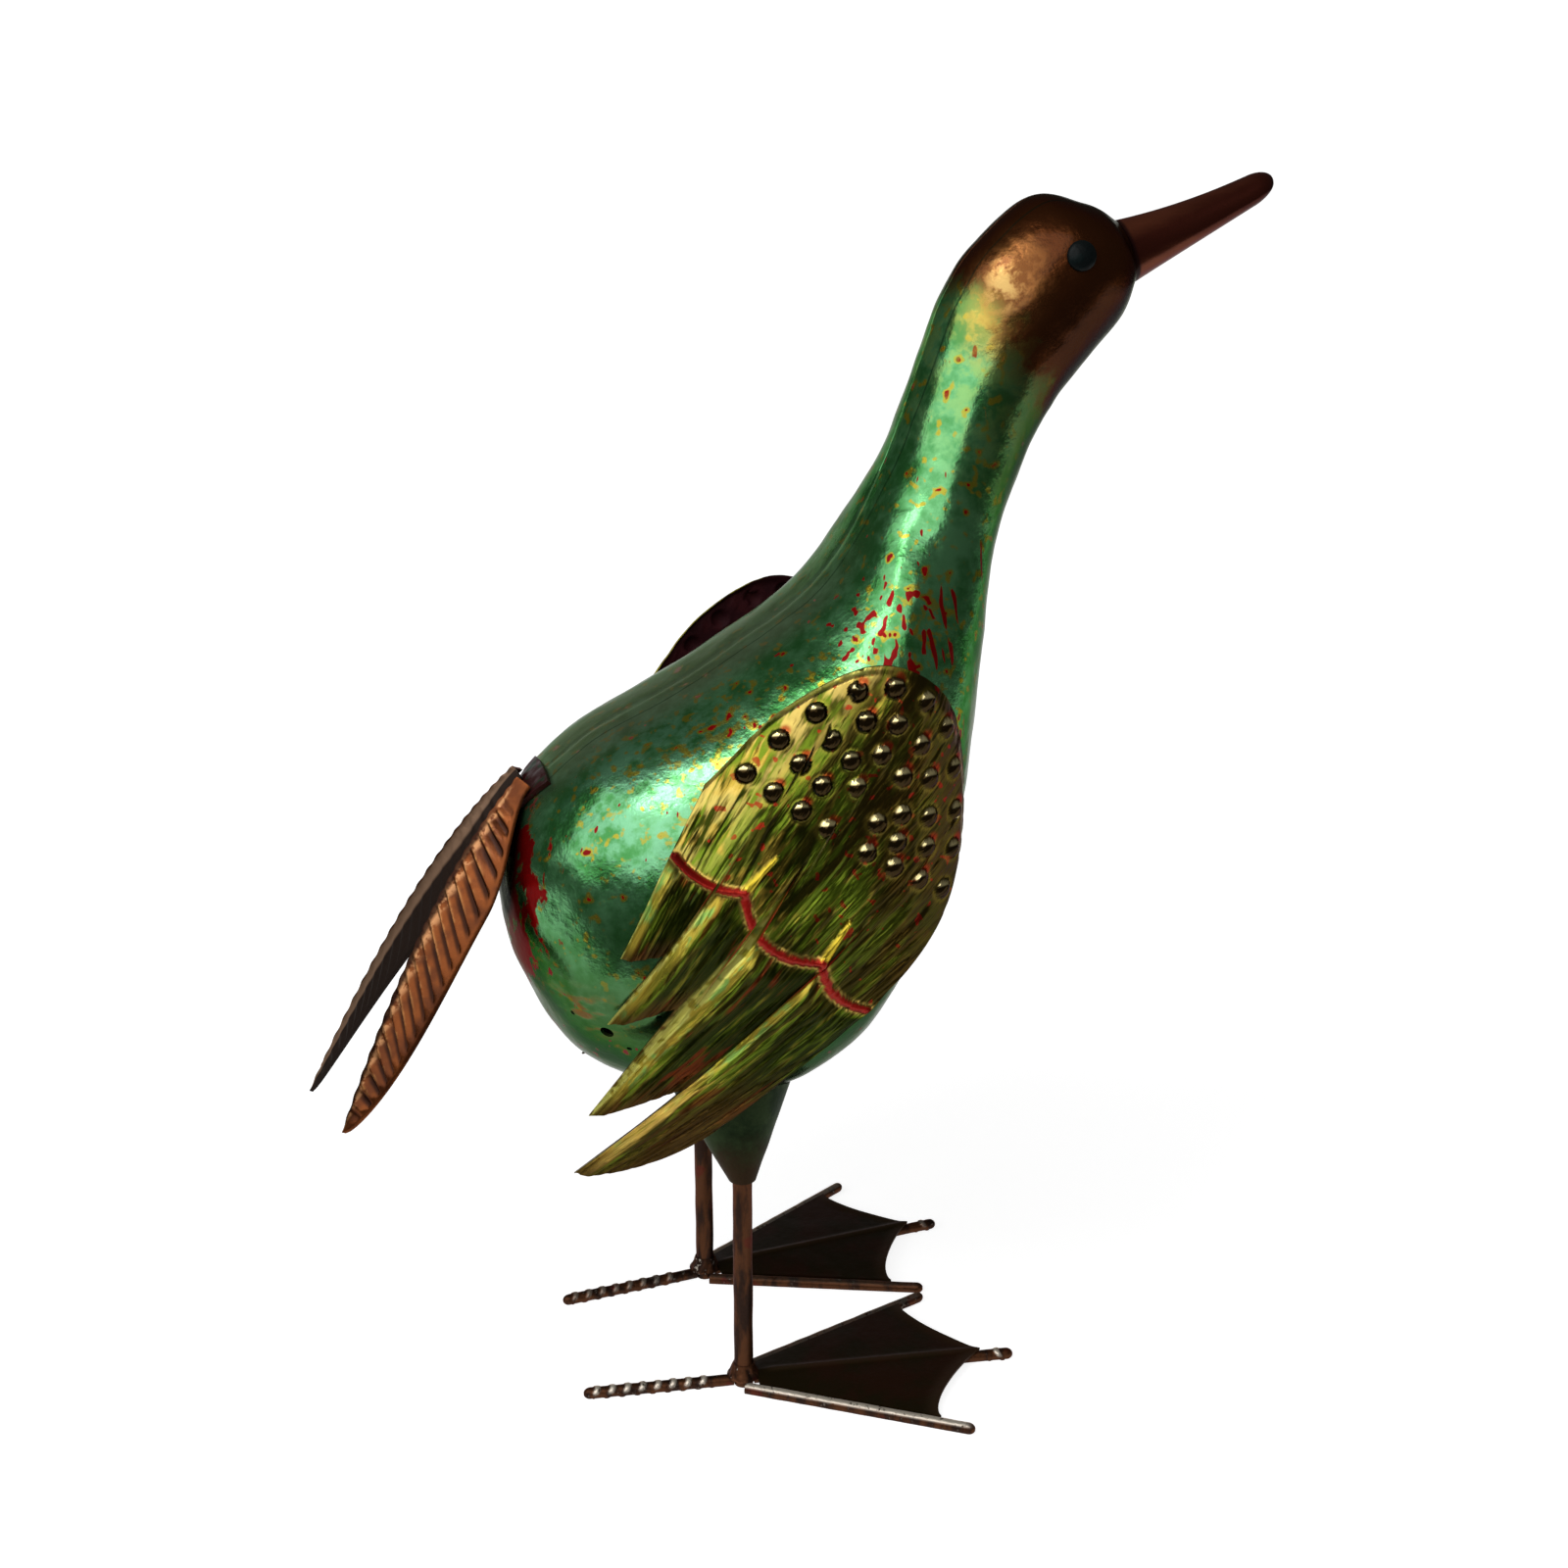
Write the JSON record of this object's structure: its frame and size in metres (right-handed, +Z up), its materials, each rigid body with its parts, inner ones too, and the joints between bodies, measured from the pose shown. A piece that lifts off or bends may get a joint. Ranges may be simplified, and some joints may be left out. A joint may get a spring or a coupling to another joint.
{
  "type": "duck statue",
  "caption": "Standing metal duck statue with a raised bill, embossed wing plates, folded tail feathers and webbed rod feet, for a garden or shelf.",
  "frame": {"origin": "on the ground under the middle of the statue's length and width", "axes": "+X toward the bill, +Y toward the duck's left side, +Z up"},
  "size_m": [0.3271, 0.1678, 0.4039],
  "materials": {
    "body_paint": "glossy metallic green lacquer, copper head",
    "bill_paint": "glossy dark copper lacquer",
    "eye_paint": "gloss black",
    "wing_paint": "glossy olive gold lacquer, red scalloped bead",
    "tail_paint": "satin copper lacquer",
    "thigh_paint": "satin dull green",
    "leg_paint": "satin brown bronze",
    "toe_paint": "satin brown bronze",
    "web_paint": "satin dark bronze",
    "weld_paint": "satin brown bronze"
  },
  "bodies": {
    "root": {"body_shell_right": "body_paint", "body_shell_left": "body_paint", "bill_upper": "bill_paint", "bill_lower": "bill_paint", "eye_right": "eye_paint", "eye_left": "eye_paint", "wing_right": "wing_paint", "wing_left": "wing_paint", "tail_strap": "tail_paint", "tail_feather_right": "tail_paint", "tail_feather_left": "tail_paint", "thigh_right": "thigh_paint", "thigh_left": "thigh_paint", "leg_right": "leg_paint", "leg_left": "leg_paint", "toe_back_right": "toe_paint", "toe_inner_right": "toe_paint", "toe_middle_right": "toe_paint", "toe_outer_right": "toe_paint", "toe_back_left": "toe_paint", "toe_inner_left": "toe_paint", "toe_middle_left": "toe_paint", "toe_outer_left": "toe_paint", "web_right": "web_paint", "web_left": "web_paint", "ankle_weld_right": "weld_paint", "ankle_weld_left": "weld_paint"}
  },
  "joints": []
}
